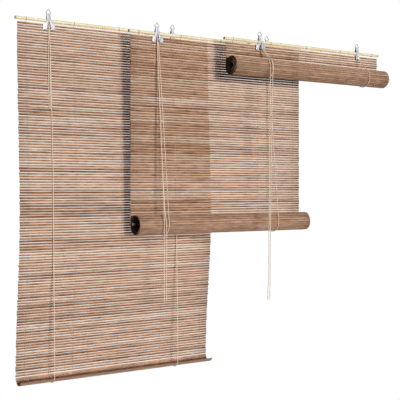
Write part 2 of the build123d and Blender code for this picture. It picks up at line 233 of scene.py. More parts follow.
class Blind:
    """One blind, with its places taken from the frame."""

    def __init__(self, name, hanging, tails, tail_lengths):
        self.name = name
        self.hanging = hanging
        self.rolled = name != "left"
        self.tails = tails
        self.tail_lengths = tail_lengths
        rod_low, rod_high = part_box(name + "_head_rod")
        self.rod = (rod_low + rod_high) / 2
        self.left = rod_low.x + ROD_OVERHANG
        self.width = rod_high.x - ROD_OVERHANG - self.left
        self.clips = [self.middle_of(name + "_cord_clip"), self.middle_of(name + "_plain_clip")]
        self.drop = CURTAIN_TOP + hanging * SLAT_PITCH
        self.carrier = name + "_sling" if self.rolled else "left_curl"
        self.turner = name + "_roll" if self.rolled else "left_curl"
        axis_y = -ROLL_RADIUS if self.rolled else BOW_BACK - CURL_RADIUS
        self.axis = Vector((self.left, self.rod.y + axis_y, self.rod.z - self.drop))

    @staticmethod
    def middle_of(node):
        low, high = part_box(node)
        return (low.x + high.x) / 2

    def bow(self, down):
        """How far the lowered curtain stands forward at a depth below the rod."""
        if self.rolled:
            return 0.0
        if down < BOW_CREST:
            return BOW_FRONT * (1 - cos(pi * down / BOW_CREST)) / 2
        along = pi * (down - BOW_CREST) / (self.drop - BOW_CREST)
        return BOW_FRONT - (BOW_FRONT + BOW_BACK) / 2 * (1 - cos(along))

    def place(self, across, forward, down):
        """Point of the frame from the curtain's left edge and the rod's axis."""
        return Vector((self.left + across, self.rod.y - forward, self.rod.z - down))


BLINDS = (
    Blind("left", hanging=SLAT_TOTAL - CURL_SLATS, tails=(LEFT_A, LEFT_B), tail_lengths=(0.382, 0.381)),
    Blind("middle", hanging=74, tails=(MIDDLE_A, MIDDLE_B), tail_lengths=(1.233, 1.225)),
    Blind("right", hanging=10, tails=(RIGHT_A, RIGHT_B), tail_lengths=(1.268, 1.270)),
)


# Node trees

class Socket:
    """An output in a node tree. Arithmetic on it adds Math nodes."""

    def __init__(self, graph, socket):
        self.graph = graph
        self.socket = socket

    def also(self, name):
        """Another output of the same node."""
        return Socket(self.graph, self.socket.node.outputs[name])

    def math(self, operation, first, second=0.0):
        return self.graph.node("ShaderNodeMath", {"operation": operation}, {0: first, 1: second})

    def __add__(self, other):
        return self.math("ADD", self, other)

    def __radd__(self, other):
        return self.math("ADD", other, self)

    def __sub__(self, other):
        return self.math("SUBTRACT", self, other)

    def __rsub__(self, other):
        return self.math("SUBTRACT", other, self)

    def __mul__(self, other):
        return self.math("MULTIPLY", self, other)

    def __truediv__(self, other):
        return self.math("DIVIDE", self, other)

    def sine(self):
        return self.math("SINE", self)

    def cosine(self):
        return self.math("COSINE", self)

    def greater(self, other):
        return self.math("MAXIMUM", self, other)

    def above(self, other):
        return self.math("GREATER_THAN", self, other)


class Graph:
    """A node tree that is filled by one method."""

    def __init__(self, tree):
        self.tree = tree

    def node(self, kind, settings=None, inputs=None, output=0):
        made = self.tree.nodes.new(kind)
        for name, value in (settings or {}).items():
            if name == "stops":
                self.set_stops(made.color_ramp.elements, value)
            else:
                setattr(made, name, value)
        for key, value in (inputs or {}).items():
            self.feed(made.inputs[key], value)
        return Socket(self, made.outputs[output])

    def feed(self, target, value):
        if isinstance(value, Socket):
            self.tree.links.new(value.socket, target)
        else:
            target.default_value = value

    @staticmethod
    def set_stops(elements, stops):
        while len(elements) < len(stops):
            elements.new(1.0)
        for element, (place, colour) in zip(elements, stops):
            element.position = place
            element.color = (*colour, 1.0)

    def vector(self, x, y, z):
        return self.node("ShaderNodeCombineXYZ", None, {0: x, 1: y, 2: z})

    def vector_math(self, operation, first, second):
        return self.node("ShaderNodeVectorMath", {"operation": operation}, {0: first, 1: second})

    def seen(self):
        """1 for rays that show the surround: from the camera, off gloss and through glass."""
        ray = self.node("ShaderNodeLightPath", None, None, "Is Camera Ray")
        return ray.greater(ray.also("Is Glossy Ray")).greater(ray.also("Is Transmission Ray"))


class Finish(Graph):
    """A material, with its Principled shader."""

    def __init__(self, name):
        self.material = bpy.data.materials.new(name)
        self.material.use_nodes = True
        super().__init__(self.material.node_tree)
        self.shader = self.tree.nodes["Principled BSDF"]

    def set(self, **values):
        for name, value in values.items():
            self.feed(self.shader.inputs[name.replace("_", " ")], value)

    def object_place(self):
        return self.node("ShaderNodeTexCoord", None, None, "Object")

    def object_axes(self):
        x = self.node("ShaderNodeSeparateXYZ", None, {0: self.object_place()})
        return x, x.also("Y"), x.also("Z")

    def attribute(self, name):
        return self.node("ShaderNodeAttribute", {"attribute_name": name}, None, "Fac")

    def noise(self, place, scale, detail=2.0, roughness=0.5):
        return self.node("ShaderNodeTexNoise", None,
                         {"Vector": place, "Scale": scale, "Detail": detail, "Roughness": roughness}, "Fac")

    def ramp(self, amount, *stops):
        return self.node("ShaderNodeValToRGB", {"stops": stops}, {0: amount})

    def tinted(self, colour, amount):
        """A colour made lighter or darker by an amount about 1, and never lighter than white."""
        grey = self.vector(amount, amount, amount)
        settings = {"data_type": "RGBA", "blend_type": "MULTIPLY", "clamp_result": True}
        return self.node("ShaderNodeMix", settings, {0: 1.0, 6: colour, 7: grey}, 2)

    def mixed(self, amount, first, second):
        return self.node("ShaderNodeMix", {"data_type": "RGBA"}, {0: amount, 6: first, 7: second}, 2)

    def bumped(self, height, depth, strength=1.0):
        """Normal from a height that runs from 0 to 1, over a depth in metres."""
        self.set(Normal=self.node("ShaderNodeBump", None, {
            "Strength": strength, "Distance": depth, "Height": height}))


# Materials. Noise runs in spots per metre.

def slat_bamboo():
    """Split bamboo: fibres, redder patches and streaks of dark stain along each slat, with painted shade: the
    lower edge darker and the upper edge lighter, the end faces almost black over their darker grain, the
    inner side of wound slats darker, and the curl's inner side lighter as painted light.
    """
    finish = Finish("slat_bamboo")
    x, y, z = finish.object_axes()
    slat = finish.attribute("slat")
    tone = finish.attribute("tone")
    streaks = finish.noise(finish.vector(x * 22.0, slat * 3.1, 0.0), 1.0, 2.0)
    # Stain streaks with painted shade: darker at each slat's lower edge, lighter at its upper edge
    streaked_stain_and_shade = finish.attribute("ridge") * (0.4 + streaks)
    facing = finish.node("ShaderNodeSeparateXYZ", None, {
        0: finish.node("ShaderNodeNewGeometry", None, None, "True Normal")})
    # End faces darkened almost to black: darker end grain with painted shade
    ends = (facing * facing).above(0.5)
    patches = finish.noise(finish.vector(x * 7.0, slat * 5.3, 0.0), 1.0, 3.0)
    fibres = finish.noise(finish.vector(x * 9.0, y * 700.0, z * 700.0), 1.0, 3.0, 0.6)
    shade = 0.5 + (tone - 0.5) * 0.7 + (patches - 0.5) * 1.1
    colour = finish.ramp(shade, (0.05, (0.44, 0.235, 0.137)), (0.3, (0.71, 0.405, 0.25)),
                         (0.5, (0.87, 0.516, 0.332)), (0.72, (0.95, 0.605, 0.412)), (0.98, (1.0, 0.76, 0.58)))
    # Painted shade: end faces and the inner side of wound slats darker, the curl's inner side lighter
    end_and_inner_painted_shade = (1.0 - ends * 0.92) * (1.0 - finish.attribute("wound") * 0.96)
    fibres_stain_and_shade = (0.78 + fibres * 0.44) * (1.0 - streaked_stain_and_shade * 0.91) * end_and_inner_painted_shade
    finish.set(Base_Color=finish.tinted(colour, fibres_stain_and_shade), Roughness=0.5 + fibres * 0.3, Specular_IOR_Level=0.12)
    finish.bumped(fibres, 0.3 * MM, 0.5)
    return finish.material


def batten_bamboo():
    """Planed bamboo strip, a little darker than the slats."""
    finish = Finish("batten_bamboo")
    x, y, z = finish.object_axes()
    fibres = finish.noise(finish.vector(x * 6.0, y * 500.0, z * 500.0), 1.0, 3.0, 0.6)
    colour = finish.ramp(fibres, (0.25, (0.21, 0.115, 0.07)), (0.75, (0.36, 0.22, 0.15)))
    finish.set(Base_Color=colour, Roughness=0.45 + fibres * 0.3, Specular_IOR_Level=0.4)
    finish.bumped(fibres, 0.2 * MM, 0.5)
    return finish.material


def rod_bamboo():
    """Straw-coloured cane, with fine fibres and a brown line at each node."""
    finish = Finish("rod_bamboo")
    x, y, z = finish.object_axes()
    ring = finish.attribute("node_ring")
    fibres = finish.noise(finish.vector(x * 5.0, y * 900.0, z * 900.0), 1.0, 3.0, 0.6)
    patches = finish.noise(finish.object_place(), 14.0, 3.0)
    straw = finish.ramp(patches * 0.65 + fibres * 0.35, (0.3, (0.76, 0.62, 0.33)), (0.5, (0.90, 0.78, 0.49)),
                        (0.72, (0.96, 0.88, 0.64)))
    finish.set(Base_Color=finish.mixed(ring, straw, (0.36, 0.23, 0.10, 1.0)))
    finish.set(Roughness=0.3 + fibres * 0.25, Coat_Weight=0.25 - ring * 0.2, Coat_Roughness=0.2)
    finish.bumped(fibres, 0.15 * MM, 0.4)
    return finish.material


def cane_pith():
    """Painted shade: the cane's hollow inside, seen at its cut ends, coloured almost black."""
    finish = Finish("cane_pith")
    specks = finish.noise(finish.object_place(), 1200.0, 3.0, 0.7)
    finish.set(Base_Color=finish.ramp(specks, (0.3, (0.006, 0.004, 0.003)), (0.75, (0.03, 0.02, 0.012))))
    finish.set(Roughness=0.85 + specks * 0.1, Specular_IOR_Level=0.15)
    finish.bumped(specks, 0.3 * MM, 0.6)
    return finish.material


def clip_metal():
    """Bright plated sheet with fine rolling lines and cloudy painted reflections, with painted shade that
    makes its inner side dark, and duller there.
    """
    finish = Finish("clip_metal")
    x, y, z = finish.object_axes()
    inside = finish.attribute("inside")
    lines = finish.noise(finish.vector(x * 2600.0, y * 900.0, z * 90.0), 1.0, 2.0)
    marks_and_painted_reflections = finish.noise(finish.vector(x * 110.0, y * 60.0, z * 45.0), 1.0, 3.0, 0.6)
    # Painted reflections: cloudy dark and light patches in the metal's colour, with the same noise also
    # varying roughness
    plate = finish.ramp(marks_and_painted_reflections, (0.34, (0.28, 0.33, 0.38)), (0.5, (0.60, 0.61, 0.66)),
                        (0.7, (0.88, 0.88, 0.90)))
    # Painted shade: the inner side coloured almost black
    finish.set(Base_Color=finish.mixed(inside, plate, (0.03, 0.028, 0.03, 1.0)))
    finish.set(Metallic=1.0, Roughness=0.14 + lines * 0.1 + marks_and_painted_reflections * 0.1 + inside * 0.4)
    finish.bumped(lines, 0.02 * MM, 0.35)
    return finish.material


def ring_wire():
    """Zinc-plated wire, a little duller than the clips."""
    finish = Finish("ring_wire")
    spangle = finish.noise(finish.object_place(), 400.0, 3.0)
    finish.set(Base_Color=finish.ramp(spangle, (0.3, (0.07, 0.07, 0.075)), (0.7, (0.16, 0.16, 0.17))))
    finish.set(Metallic=1.0, Roughness=0.2 + spangle * 0.2)
    finish.bumped(spangle, 0.03 * MM, 0.3)
    return finish.material


def cord_cotton():
    """Cream cotton cord, its braid drawn over the tube's own run."""
    finish = Finish("cord_cotton")
    around = finish.node("ShaderNodeTexCoord", None, None, "UV")
    u = finish.node("ShaderNodeSeparateXYZ", None, {0: around})
    v = u.also("Y")
    turn = u * (2 * pi * BRAID_STRANDS)
    along = v * (2 * pi / BRAID_LAY)
    braid = (turn + along).sine().greater((turn - along).sine())
    soil = finish.noise(finish.vector(u * 0.5, v * 9.0, 0.0), 1.0, 3.0)
    colour = finish.ramp(soil, (0.25, (0.86, 0.68, 0.52)), (0.7, (0.96, 0.79, 0.63)))
    finish.set(Base_Color=finish.tinted(colour, 0.9 + braid * 0.1), Roughness=0.75 + soil * 0.15)
    finish.set(Sheen_Weight=0.2, Specular_IOR_Level=0.2)
    finish.bumped(braid, 0.25 * MM, 0.8)
    return finish.material


def weave_thread():
    """Brown twisted thread that holds the slats."""
    finish = Finish("weave_thread")
    x, _, z = finish.object_axes()
    twist = (z * (2 * pi / THREAD_LAY) + x * (2 * pi / THREAD_LAY_ACROSS)).sine()
    fuzz = finish.noise(finish.object_place(), 900.0, 2.0)
    colour = finish.ramp(fuzz, (0.3, (0.40, 0.27, 0.18)), (0.7, (0.58, 0.42, 0.30)))
    finish.set(Base_Color=finish.tinted(colour, 0.9 + twist * 0.1), Roughness=0.8 + fuzz * 0.15)
    finish.set(Specular_IOR_Level=0.2)
    finish.bumped(twist, 0.1 * MM, 0.6)
    return finish.material


def studio_floor():
    """A pale floor that looks near white and keeps a soft shadow."""
    finish = Finish("studio_floor")
    cloud = finish.noise(finish.object_place(), 0.8, 2.0)
    pale = finish.ramp(cloud, (0.3, (0.86, 0.86, 0.86)), (0.7, (0.90, 0.90, 0.90)))
    finish.set(Base_Color=pale, Roughness=0.8)
    glow = finish.node("ShaderNodeEmission", None, {"Color": FLOOR_GLOW_COLOUR})
    both = finish.node("ShaderNodeMixShader", None, {
        0: finish.seen() * FLOOR_GLOW, 1: Socket(finish, finish.shader.outputs[0]), 2: glow})
    finish.feed(finish.tree.nodes["Material Output"].inputs["Surface"], both)
    return finish.material


FINISHES = {make.__name__: make() for make in (slat_bamboo, batten_bamboo, rod_bamboo, cane_pith, clip_metal,
                                               ring_wire, cord_cotton, weave_thread)}


# Meshes

def add(name, mesh):
    piece = bpy.data.objects.new(name, mesh)
    bpy.context.scene.collection.objects.link(piece)
    return piece


def plain_mesh(source):
    """The evaluated shape of an object as a mesh of its own."""
    depsgraph = bpy.context.evaluated_depsgraph_get()
    return bpy.data.meshes.new_from_object(source.evaluated_get(depsgraph), preserve_all_data_layers=True,
                                           depsgraph=depsgraph)


def shaped(form, name, *materials):
    """A mesh of what was modelled in a form."""
    mesh = bpy.data.meshes.new(name)
    form.to_mesh(mesh)
    form.free()
    for material in materials:
        mesh.materials.append(material)
    return mesh


def stand_in(node):
    """Hides a CAD node that a piece stands in for."""
    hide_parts(node)


def curve_object(name, kind, points):
    """A curve with no bevel, with one spline of points."""
    curve = bpy.data.curves.new(name, "CURVE")
    curve.dimensions = "3D"
    spline = curve.splines.new(kind)
    spline.points.add(len(points) - 1)
    for target, point in zip(spline.points, points):
        target.co = (*point, 1.0)
    return add(name, curve)


def smooth_route(points):
    """Points along the smooth curve that a cord's route controls."""
    holder = curve_object("route", "NURBS", points)
    holder.data.resolution_u = ROUTE_STEPS
    spline = holder.data.splines[0]
    spline.order_u = 3
    spline.use_endpoint_u = True
    mesh = plain_mesh(holder)
    smooth = [vertex.co.copy() for vertex in mesh.vertices]
    bpy.data.objects.remove(holder)
    bpy.data.meshes.remove(mesh)
    return smooth


def lay_tube(form, points, radius, sides=CORD_SIDES):
    """Adds a round closed tube along points, with its turn and its run in metres as UV."""
    uv = form.loops.layers.uv.verify()
    ahead = (points[1] - points[0]).normalized()
    side = ahead.orthogonal().normalized()
    run = 0.0
    last = None
    for count, point in enumerate(points):
        if count:
            run_before = run
            run += (point - points[count - 1]).length
        way = (points[min(count + 1, len(points) - 1)] - points[max(count - 1, 0)]).normalized()
        turn = ahead.rotation_difference(way)
        side = (turn @ side).normalized()
        ahead = way
        ring = []
        for step in range(sides):
            around = Quaternion(ahead, 2 * pi * step / sides)
            ring.append(form.verts.new(point + (around @ side) * radius))
        if last:
            for step in range(sides):
                after = (step + 1) % sides
                face = form.faces.new((last[step], last[after], ring[after], ring[step]))
                face.smooth = True
                corners = ((step, run_before), (step + 1, run_before), (step + 1, run), (step, run))
                for loop, (u, v) in zip(face.loops, corners):
                    loop[uv].uv = (u / sides, v)
        else:
            form.faces.new(list(reversed(ring)))
        last = ring
    form.faces.new(last)


def tubes_piece(name, routes, radius, finish, sides=CORD_SIDES):
    """One piece of tubes along several routes."""
    form = bmesh.new()
    for points in routes:
        lay_tube(form, points, radius, sides)
    return add(name, shaped(form, name, FINISHES[finish]))


# Slats and threads, laid along the curtain's line

def tree_inputs(name, inputs):
    """A geometry tree with named inputs, and its graph and input sockets."""
    tree = bpy.data.node_groups.new(name, "GeometryNodeTree")
    face = tree.interface
    face.new_socket("Geometry", in_out="OUTPUT", socket_type="NodeSocketGeometry")
    face.new_socket("Line", in_out="INPUT", socket_type="NodeSocketGeometry")
    for label, kind in inputs.items():
        face.new_socket(label, in_out="INPUT", socket_type="NodeSocket" + kind)
    graph = Graph(tree)
    line = graph.node("NodeGroupInput")
    return tree, graph, line


def finish_tree(graph, shape, material):
    """Ends a tree with smooth faces and a material."""
    whole = graph.node("GeometryNodeRealizeInstances", None, {0: shape})
    smooth = graph.node("GeometryNodeSetShadeSmooth", None, {0: whole})
    coated = graph.node("GeometryNodeSetMaterial", None, {0: smooth, "Material": material})
    out = graph.tree.nodes.new("NodeGroupOutput")
    graph.feed(out.inputs[0], coated)


def slat_tree():
    """Slats side by side down a line, each with its own thickness, ends, wavy edges and tone."""
    tree, graph, line = tree_inputs("slats_down_a_line", {
        "Count": "Int", "First": "Int", "Width": "Float", "Pitch": "Float", "Height": "Float",
        "Thickness": "Float", "Wander": "Float", "Ragged": "Float", "Contrast": "Float", "Wound": "Float",
        "Material": "Material"})

    def chance(low, high, seed):
        return graph.node("FunctionNodeRandomValue", {"data_type": "FLOAT"},
                          {2: low, 3: high, 7: number, 8: seed}, 1)

    def moved(shape, offset):
        return graph.node("GeometryNodeSetPosition", None, {"Geometry": shape, "Offset": offset})

    def store(shape, domain, name, value):
        return graph.node("GeometryNodeStoreNamedAttribute", {"data_type": "FLOAT", "domain": domain},
                          {"Geometry": shape, "Name": name, "Value": value})

    def stored(name):
        return graph.node("GeometryNodeInputNamedAttribute", {"data_type": "FLOAT"}, {"Name": name})

    index = graph.node("GeometryNodeInputIndex")
    number = index + line.also("First")
    height = line.also("Height")
    thickness = line.also("Thickness")
    contrast = line.also("Contrast")
    x = graph.node("ShaderNodeSeparateXYZ", None, {0: graph.node("GeometryNodeInputPosition")})
    y = x.also("Y")

    # One slat, thinner towards its edges
    blank = graph.node("GeometryNodeMeshCube", None, {
        "Size": graph.vector(line.also("Width"), thickness, height),
        "Vertices X": SLAT_STEPS, "Vertices Y": 2, "Vertices Z": 3})
    edge = x.also("Z") / height * 2.0
    # Stain darker at the slat's middle, and painted shade that darkens the lower edge and lightens the upper
    # edge
    crown = (1.0 - edge * edge * 2.0) * STAIN_CROWN
    ridge = STAIN_MEAN + (crown - edge * PAINTED_SHADE_FALL) * contrast + (1.0 - contrast) * STAIN_WOUND
    # Painted shade on each slat's inner side, at a strength given per piece; a negative strength paints light
    # instead
    wound = (0.5 - y / thickness) * line.also("Wound")
    marked = store(blank, "POINT", "wound", wound)
    marked = moved(marked, graph.vector(0.0, y * edge * edge * -EDGE_THINNING, 0.0))
    marked = store(marked, "POINT", "edge", edge)
    marked = store(marked, "POINT", "ridge", ridge)

    # All slats, at their places on the line
    spots = graph.node("GeometryNodePoints", None, {"Count": line.also("Count")})
    run = (index + 0.5) * line.also("Pitch")
    sample = graph.node("GeometryNodeSampleCurve", {"mode": "LENGTH"}, {"Curves": line, "Length": run},
                        "Position")
    shift = line.also("Width") * 0.5 + line.also("Ragged") * chance(-1.0, 1.0, END_SEED)
    centre = graph.vector_math("ADD", sample, graph.vector(shift, 0.0, 0.0))
    spread = graph.node("GeometryNodeSetPosition", None, {"Geometry": spots, "Position": centre})
    up = graph.vector_math("MULTIPLY", sample.also("Tangent"), (-1.0, -1.0, -1.0))
    turn = graph.node("FunctionNodeAlignRotationToVector", {"axis": "Z", "pivot_axis": "X"}, {"Vector": up})
    size = graph.vector(1.0, chance(*SLAT_THICK_RANGE, THICK_SEED), 1.0)
    laid = graph.node("GeometryNodeInstanceOnPoints", None,
                      {"Points": spread, "Instance": marked, "Rotation": turn, "Scale": size})
    laid = store(laid, "INSTANCE", "tone", 0.5 + contrast * chance(-0.5, 0.5, TONE_SEED))
    laid = store(laid, "INSTANCE", "slat", number)
    whole = graph.node("GeometryNodeRealizeInstances", None, {0: laid})

    # Edges that wander up and down along each slat
    aside = stored("slat") * EDGE_WAVE_PER_SLAT + stored("edge") * EDGE_WAVE_ACROSS
    along = graph.vector(x * EDGE_WAVES, aside, 0.0)
    wave = graph.node("ShaderNodeTexNoise", None, {"Vector": along, "Scale": 1.0, "Detail": 1.0}, "Fac")
    wavy = moved(whole, graph.vector(0.0, 0.0, (wave - 0.5) * EDGE_WAVE_GAIN * line.also("Wander")))
    finish_tree(graph, wavy, line.also("Material"))
    return tree


def thread_tree():
    """Pairs of threads that pass before and behind the slats in turn, at places across the curtain."""
    tree, graph, line = tree_inputs("threads_down_a_line", {
        "Pitch": "Float", "Swing": "Float", "Radius": "Float", "Material": "Material"})
    pitch = line.also("Pitch")
    fine = graph.node("GeometryNodeResampleCurve", {"mode": "LENGTH"}, {"Curve": line, "Length": pitch * 0.5})
    run = graph.node("GeometryNodeSplineParameter", None, None, "Length")
    tangent = graph.node("GeometryNodeInputTangent")
    outward = graph.vector_math("CROSS_PRODUCT", tangent, (1.0, 0.0, 0.0))
    profile = graph.node("GeometryNodeCurvePrimitiveCircle", None, {
        "Resolution": THREAD_SIDES, "Radius": line.also("Radius")})
    joined = graph.node("GeometryNodeJoinGeometry")
    for phase in (0.0, pi):
        swing = (run / pitch * pi + (phase - pi / 2)).cosine() * line.also("Swing")
        offset = graph.node("ShaderNodeVectorMath", {"operation": "SCALE"}, {0: outward, "Scale": swing})
        woven = graph.node("GeometryNodeSetPosition", None, {"Geometry": fine, "Offset": offset})
        thread = graph.node("GeometryNodeCurveToMesh", None, {
            "Curve": woven, "Profile Curve": profile, "Fill Caps": True})
        for spot in THREAD_SPOTS:
            aside = spot + (THREAD_RADIUS if phase else -THREAD_RADIUS)
            graph.feed(joined.socket.node.inputs[0], graph.node("GeometryNodeTransform", None, {
                "Geometry": thread, "Translation": (aside, 0.0, 0.0)}))
    finish_tree(graph, joined, line.also("Material"))
    return tree


TREES = {"slats": slat_tree(), "threads": thread_tree()}


def grown(name, kind, points, values):
    """A piece made by a tree along a line of points."""
    holder = curve_object("fall_line", "POLY", points)
    modifier = holder.modifiers.new(kind, "NODES")
    modifier.node_group = TREES[kind]
    for item in modifier.node_group.interface.items_tree:
        if item.in_out == "INPUT" and item.name in values:
            modifier[item.identifier] = values[item.name]
    mesh = plain_mesh(holder)
    bpy.data.objects.remove(holder)
    mesh.name = name
    return add(name, mesh)


def slats(name, points, count, first, width, height=SLAT_HEIGHT, thickness=SLAT_THICK, wander=EDGE_WANDER,
          contrast=1.0, wound=0.0):
    return grown(name, "slats", points, {
        "Count": count, "First": first, "Width": width, "Pitch": SLAT_PITCH, "Height": height,
        "Thickness": thickness, "Wander": wander, "Ragged": END_RAGGED, "Contrast": contrast, "Wound": wound,
        "Material": FINISHES["slat_bamboo"]})


def threads(name, points):
    return grown(name, "threads", points, {
        "Pitch": SLAT_PITCH, "Swing": THREAD_SWING, "Radius": THREAD_RADIUS,
        "Material": FINISHES["weave_thread"]})


def fall_line(blind, from_slat, to_slat, behind=0.0):
    """The hanging curtain's line between two slats, counted from its top."""
    points = []
    for count in range(from_slat, to_slat + 1):
        down = CURTAIN_TOP + count * SLAT_PITCH
        points.append(blind.place(0.0, blind.bow(down) - behind, down))
    return points


def rolled_line(blind):
    """The rolled or curled foot of the curtain, as a spiral in from the curtain's line."""
    radius = ROLL_RADIUS if blind.rolled else CURL_RADIUS
    wrap = ROLL_WRAP if blind.rolled else 0.0
    length = (SLAT_TOTAL - blind.hanging) * SLAT_PITCH
    points = []
    turn = 0.0
    run = 0.0
    while run < length + SLAT_PITCH:
        points.append(blind.axis + Vector((0.0, radius * cos(turn), -radius * sin(turn))))
        run += radius * SPIRAL_STEP
        turn += SPIRAL_STEP
        radius -= wrap * SPIRAL_STEP / (2 * pi)
    return points


# What moves with a rise

def ease_back(share):
    """Where a smooth step reaches a share."""
    return 0.5 - sin(asin(1 - 2 * min(max(share, 0.0), 1.0)) / 3)


def share_rise(piece, blind, top, foot, top_share, foot_share):
    """Works out how far an even share of its blind's rise would draw out a piece between two heights, and
    bakes the piece's transform.
    """
    first = ease_back(top_share)
    last = ease_back(foot_share)
    span = (top - foot) / (last - first)
    start = top + first * span
    draw_out(piece, start - span)


def draw_out(piece, end):
    """Bakes a piece's transform into its mesh."""
    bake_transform(piece)


def cord_lead(blind):
    """Height at which the cords have left the clip."""
    return blind.rod.z - PIN_DROP - CORNER_RADIUS - CORD_LEAD


def rise_limits(blind):
    joint = next(joint for joint in frame["joints"] if joint["name"] == blind.name + "_rise")
    return joint["range_m"]


def gather_up(piece, blind):
    """Gives a piece of the lowered blind its own mesh and hangs it from the head."""
    depth = blind.drop - CURTAIN_TOP
    tuple(blind.place(0.0, 0.0, CURTAIN_TOP))
    (depth - max(rise_limits(blind))) / depth
    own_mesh(piece)
    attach(piece, "head")


def pack_away(mesh, top, length, room):
    """Squeezes a length of curtain into a small room below a height, so that a rise draws it out evenly."""
    for vertex in mesh.vertices:
        share = (top - vertex.co.z) / length
        vertex.co.z = top - room * ease_back(share)


def left_curtain(blind, first):
    """The lowered curtain, which gathers up towards its rod."""
    line = fall_line(blind, 0, blind.hanging)
    piece = slats("left_curtain_slats", line, blind.hanging, first, blind.width)
    woven = threads("left_curtain_threads", line)
    for part in (piece, woven):
        gather_up(part, blind)
    return [piece], [woven]


def middle_curtain(blind, first):
    """The half-raised curtain in bands, with thin spare slats behind it that show when it is lowered."""
    top = blind.rod.z - CURTAIN_TOP
    foot = blind.axis.z
    fall = -min(rise_limits(blind))
    lowered_pitch = SLAT_PITCH * (1 + fall / (top - foot))
    lag = lowered_pitch / 2 / fall
    pieces = []
    for band in range(MIDDLE_BANDS):
        begin = blind.hanging * band // MIDDLE_BANDS
        end = blind.hanging * (band + 1) // MIDDLE_BANDS
        heights = (top - begin * SLAT_PITCH, top - end * SLAT_PITCH)
        shares = (begin / blind.hanging, end / blind.hanging)
        line = fall_line(blind, begin, end)
        front = slats(f"middle_curtain_slats_{band + 1}", line, end - begin, first + begin, blind.width)
        share_rise(front, blind, *heights, *shares)
        line = fall_line(blind, begin, end, SPARE_BEHIND)
        spare = slats(f"middle_spare_slats_{band + 1}", line, end - begin, first + begin + blind.hanging,
                      blind.width - SPARE_SHORTER, SPARE_HEIGHT, SPARE_THICK, SPARE_WANDER)
        share_rise(spare, blind, *heights, shares[0] + lag, shares[1] + lag)
        pieces += [front, spare]
    woven = threads("middle_curtain_threads", fall_line(blind, 0, blind.hanging))
    share_rise(woven, blind, top, foot, 0.0, 1.0)
    return pieces, [woven]


def right_curtain(blind, first):
    """The raised curtain, with the slats that it lacks when lowered packed into its last one's place."""
    shown = blind.hanging - 1
    spare_count = round((SLAT_PITCH - min(rise_limits(blind))) / SLAT_PITCH)
    top = blind.rod.z - CURTAIN_TOP - shown * SLAT_PITCH
    line = fall_line(blind, 0, shown)
    piece = slats("right_curtain_slats", line, shown, first, blind.width)
    woven = threads("right_curtain_threads", line)
    for part in (piece, woven):
        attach(part, "head")
    spare_line = fall_line(blind, shown, shown + spare_count)
    spare = slats("right_spare_slats", spare_line, spare_count, first + shown, blind.width)
    spare_woven = threads("right_spare_threads", spare_line)
    for part in (spare, spare_woven):
        pack_away(part.data, top, spare_count * SLAT_PITCH, SLAT_HEIGHT)
        draw_out(part, top - SLAT_HEIGHT)
    return [piece, spare], [woven, spare_woven]


def curtain(blind):
    """Hanging slats and threads of one blind."""
    hang = {"left": left_curtain, "middle": middle_curtain, "right": right_curtain}[blind.name]
    pieces, strands = hang(blind, BLINDS.index(blind) * SLAT_TOTAL)
    for piece in pieces:
        stand_in(blind.name + "_hanging_slats")
    for strand in strands:
        stand_in(blind.name + "_weave_threads")


def roll(blind):
    """Rolled or curled slats and their threads, which turn with the roll."""
    count = SLAT_TOTAL - blind.hanging
    first = BLINDS.index(blind) * SLAT_TOTAL + blind.hanging
    line = rolled_line(blind)
    # Rolled slats get painted shade on their inner sides; the curl's slats get painted light there
    if blind.rolled:
        foot, height, thickness, painted_inner_shade = "_roll", ROLLED_HEIGHT, ROLLED_THICK, ROLLED_PAINTED_INNER_SHADE
    else:
        foot, height, thickness, painted_inner_shade = "_curl", CURL_HEIGHT, SLAT_THICK, CURL_PAINTED_INNER_SHADE
    wound = slats(f"{blind.name}_rolled_slats", line, count, first, blind.width, height, thickness,
                  WOUND_WANDER, WOUND_CONTRAST, painted_inner_shade)
    stand_in(blind.name + foot + "_slats")
    woven = threads(f"{blind.name}_rolled_threads", line)
    stand_in(blind.name + foot + "_threads")
    for piece in (wound, woven):
        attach(piece, blind.turner)


# Rods, clips and cords

def rod_radius(along):
    """Radius of the cane: a low swelling with a groove at each node."""
    radius = ROD_RADIUS
    for spot in ROD_NODES:
        away = abs(along - spot) / ROD_NODE_HALF
        if away < 1:
            radius += ROD_NODE_SWELL * (1 + cos(pi * away)) / 2
        if away < ROD_GROOVE_SHARE:
            radius -= ROD_GROOVE_DEPTH
    return radius


